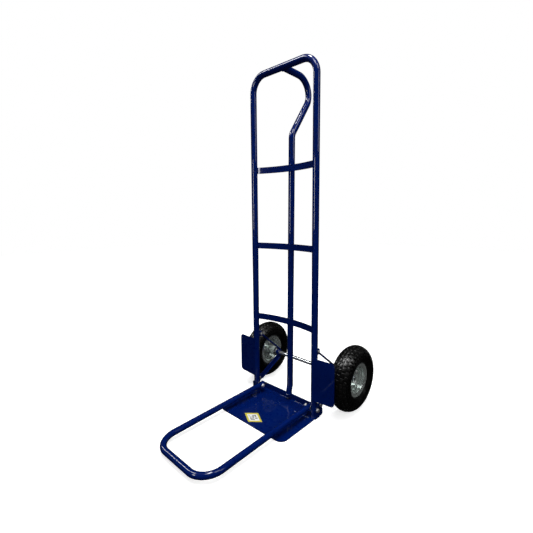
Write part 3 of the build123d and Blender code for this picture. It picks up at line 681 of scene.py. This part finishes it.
def make_tyre(name):
    side = SIDES[name]
    centre = WHEEL_CENTRE[name]
    pitch_length = 2 * pi * WHEEL_R / PITCHES
    crown = crown_section()
    # one half of the section: tread rows with a changing height, then plain points
    rows = []
    for distance in row_marks():
        _, x, r, out_x, out_r = next(row for row in crown if row[0] >= distance - 1e-9)
        rows.append((distance, x, r, out_x, out_r))
    plain = side_wall()
    shares = around_marks(pitch_length)
    half_sections = []
    for mirrored in (1, -1):
        section = [("tread", mirrored, row) for row in rows]
        section += [("plain", mirrored, point) for point in plain]
        section += [("plain", mirrored, point) for point in TYRE_INNER]
        half_sections.append(section)
    # one closed section: out along one half, back along the other
    section = half_sections[0] + list(reversed(half_sections[1][1:-1]))
    rings = []
    for pitch in range(PITCHES):
        for share in shares:
            ring = []
            for kind, mirrored, data in section:
                twist = 0.0
                if kind == "tread":
                    distance, x, r, out_x, out_r = data
                    sunk = TREAD_DEPTH * (1 - block_height(distance, share, pitch_length))
                    x, r = x - out_x * sunk, r - out_r * sunk
                    twist = CHEVRON * distance / BLOCK_ROWS[-1][1]
                else:
                    x, r = data
                angle = 2 * pi * (pitch + share + twist) / PITCHES
                place = Vector((side * mirrored * x, r * cos(angle), r * sin(angle)))
                ring.append(centre + place)
            rings.append(ring)
    verts, faces = loft(rings, cap_ends=False, loop_rows=True)
    if side > 0:
        faces = [tuple(reversed(face)) for face in faces]
    tyre = new_piece(
        f"tread_tyre_{name}", verts, faces, f"wheel_{name}", "tyre_rubber", smooth_angle=38.0
    )
    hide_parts(f"tyre_{name}")


# ================================================================== weld beads
BEAD_POINTS = 10
BEAD_STEP = 0.0016
RING_STEP = 0.0018
# a bead's ends are thinner, and its ripples alternate with a little chance in each
TAPER_END = 0.45
TAPER_RISE = 0.55
RIPPLE = 0.14
RIPPLE_CHANCE = 0.08
# radii of the beads
BEAD_R = {
    "slat": 0.0016, "middle": 0.0014, "foot": 0.0017, "guard": 0.0018, "hinge": 0.0014,
    "collar": 0.0013, "lug": 0.0012, "handle": 0.0018,
}
# how far a bead's middle sinks into the tube's flank, and how far one stands off a foot
FLANK_SINK = 0.0006
FOOT_LIFT = 0.0008
TACK_HALF_LENGTH = 0.006
COLLAR_WELD_R = 0.0124
COLLAR_FACE = 0.0028
HINGE_WELD_Z = (0.012, 0.040)
SADDLE_POINTS = 44
# keeps the bead over the top bar inside the CAD model's box
SADDLE_DROP = 0.0022


def weld_bead(name, path, bead_r, closed=False):
    """A lumpy bead of weld along a path, painted over with the frame."""
    rng = random.Random(name)
    points = [Vector(point) for point in path]
    last = len(points) - 1
    turns = [2 * pi * k / BEAD_POINTS for k in range(BEAD_POINTS)]
    rings = []
    for index, point in enumerate(points):
        before = points[index - 1] if index or closed else point
        after = points[(index + 1) % len(points)] if index < last or closed else point
        tangent = (after - before).normalized()
        side = tangent.orthogonal().normalized()
        other = tangent.cross(side)
        taper = 1.0
        if not closed:
            taper = min(1.0, TAPER_END + TAPER_RISE * min(index, last - index) / 2)
        ripple = 1 + RIPPLE * (index % 2) + rng.uniform(-RIPPLE_CHANCE, RIPPLE_CHANCE)
        reach = bead_r * taper * ripple
        rings.append([point + side * cos(a) * reach + other * sin(a) * reach for a in turns])
    verts, faces = loft(rings, cap_ends=not closed, loop_rows=closed)
    new_piece(name, verts, faces, "frame", "frame_paint", smooth_angle=70.0)


def line_path(start, end):
    start, end = Vector(start), Vector(end)
    count = max(3, round((end - start).length / BEAD_STEP))
    return [start.lerp(end, index / count) for index in range(count + 1)]


def ring_path(centre, radius, across, up):
    """Points of a ring about a centre, in the plane of two unit vectors."""
    count = max(6, round(radius * (2 * pi) / RING_STEP))
    centre, across, up = Vector(centre), Vector(across), Vector(up)
    angles = [2 * pi * index / count for index in range(count)]
    return [centre + (across * cos(a) + up * sin(a)) * radius for a in angles]


def make_slat_welds():
    for name in ("slat_lower", "slat_middle", "slat_upper"):
        low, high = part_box(name)
        short = name.split("_")[1]
        for side_name, side in SIDES.items():
            x = side * (LEG_X - TUBE_R + FLANK_SINK)
            for face_name, y in (("front", low.y), ("rear", low.y + SLAT_T)):
                path = line_path((x, y, low.z + 0.002), (x, y, high.z - 0.002))
                weld_bead(f"weld_{short}_{side_name}_{face_name}", path, BEAD_R["slat"])
        back_y = high.y + 0.0002
        for side_name, side in SIDES.items():
            x = side * 0.0045
            path = line_path((x, back_y, low.z + 0.003), (x, back_y, high.z - 0.003))
            weld_bead(f"weld_{short}_middle_{side_name}", path, BEAD_R["middle"])


def make_side_welds(side_name, side):
    """The leg's foot, guard and hinge plate, the brace's collar and the stay's lug."""
    foot = (side * LEG_X, 0, FOOT_Z + FOOT_LIFT)
    path = ring_path(foot, TUBE_R + FLANK_SINK, (1, 0, 0), (0, 1, 0))
    weld_bead(f"weld_foot_{side_name}", path, BEAD_R["foot"], closed=True)
    sweep = radians(GUARD_SWEEP)
    along = Vector((cos(sweep), side * sin(sweep), 0))
    ahead = Vector((side * sin(sweep), -cos(sweep), 0))
    half = Vector((0, 0, TACK_HALF_LENGTH))
    for order, z in enumerate(TACK_LEVELS):
        spot = Vector((side * LEG_X, 0, z))
        spot = spot + along * side * TACK_SIDE + ahead * (TUBE_R + FOOT_LIFT)
        path = line_path(spot - half, spot + half)
        weld_bead(f"weld_guard_{side_name}_{order}", path, BEAD_R["guard"])
    for order, y in enumerate((-0.005, 0.006)):
        x = side * (LEG_X + TUBE_R - FLANK_SINK)
        path = line_path((x, y, HINGE_WELD_Z[0]), (x, y, HINGE_WELD_Z[1]))
        weld_bead(f"weld_hinge_{side_name}_{order}", path, BEAD_R["hinge"])
    collar_low, collar_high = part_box(f"axle_collar_{side_name}")
    centre = (collar_low + collar_high) / 2
    brace_low, brace_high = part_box(f"axle_brace_{side_name}")
    face_x = min(abs(brace_low.x), abs(brace_high.x)) + COLLAR_FACE
    path = ring_path((side * face_x, centre.y, centre.z), COLLAR_WELD_R, (0, 1, 0), (0, 0, 1))
    weld_bead(f"weld_collar_{side_name}", path, BEAD_R["collar"], closed=True)
    lug_low, lug_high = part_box(f"stay_lug_{side_name}")
    for order, z in enumerate((lug_low.z + 0.001, lug_high.z - 0.001)):
        path = line_path((lug_low.x + 0.001, TUBE_R, z), (lug_high.x - 0.001, TUBE_R, z))
        weld_bead(f"weld_lug_{side_name}_{order}", path, BEAD_R["lug"])


def make_handle_welds():
    """A saddle round the top bar at the handle's upper end, and a ring at its foot."""
    reach = TUBE_R + 0.0004
    path = []
    for index in range(SADDLE_POINTS):
        angle = 2 * pi * index / SADDLE_POINTS
        rise = min(reach * sin(angle), TUBE_R - SADDLE_DROP)
        path.append((reach * cos(angle), TUBE_R * abs(cos(angle)) + 0.0012, TOP_Z + rise))
    weld_bead("weld_handle_top", path, BEAD_R["handle"], closed=True)
    foot = (0, HANDLE_ROUTE[-1][0], FLANGE_TOP_Z + FLANK_SINK)
    path = ring_path(foot, reach, (1, 0, 0), (0, 1, 0))
    weld_bead("weld_handle_foot", path, BEAD_R["foot"], closed=True)


# ================================================================== label
def flat_patch(name, outline, low, high, material):
    """A thin flat sheet over an outline in the label's own shares."""
    centre, short, long = Vector(LABEL_CENTRE), Vector(LABEL_SHORT_EDGE), Vector(LABEL_LONG_EDGE)
    places = [centre + long * u + short * v for u, v in outline]
    rings = [[(place.x, place.y, z) for place in places] for z in (low, high)]
    verts, faces = loft(rings)
    return new_piece(
        name, verts, faces, "frame", "label_film", material=material, smooth_angle=20.0
    )


def rectangle(u0, v0, u1, v1):
    return [(u0, v0), (u1, v0), (u1, v1), (u0, v1)]


def make_label():
    """Yellow border, white field and a generic picture of plain bars and rectangles."""
    low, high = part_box("label")
    sheet = (high.z - low.z) / 3
    whole = rectangle(-0.5, -0.5, 0.5, 0.5)
    border = flat_patch("label_border", whole, low.z, low.z + sheet, LABEL_YELLOW)
    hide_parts("label")
    field = rectangle(-LABEL_FIELD, -LABEL_FIELD, LABEL_FIELD, LABEL_FIELD)
    flat_patch("label_field", field, low.z + sheet, low.z + 2 * sheet, MATERIALS["label_film"])
    for index, (ink, outline) in enumerate(LABEL_MARKS):
        material = LABEL_INK if ink == "black" else LABEL_GREY
        flat_patch(f"label_mark_{index}", outline, low.z + 2 * sheet, high.z, material)


# ================================================================== edges
def soften_edges():
    """Small bevels on the sheet-metal CAD nodes, so that their edges catch the light."""
    for start, width in EDGE_SOFTENING:
        for name, node in NODES.items():
            if name.startswith(start):
                bevel = node.modifiers.new("softened edges", "BEVEL")
                bevel.width = width
                bevel.segments = 2
                bevel.limit_method = "ANGLE"
                bevel.angle_limit = radians(50)


# ================================================================== build
make_camera()
make_world()
for light in LIGHTS:
    area_light(*light)
bpy.context.scene.view_settings.view_transform = "Standard"
bpy.context.scene.view_settings.look = "None"
make_floor()

dress_cad_nodes()
make_tubes()
for wheel_name in SIDES:
    make_tyre(wheel_name)
make_slat_welds()
for side_name, side in SIDES.items():
    make_side_welds(side_name, side)
make_handle_welds()
make_label()
soften_edges()
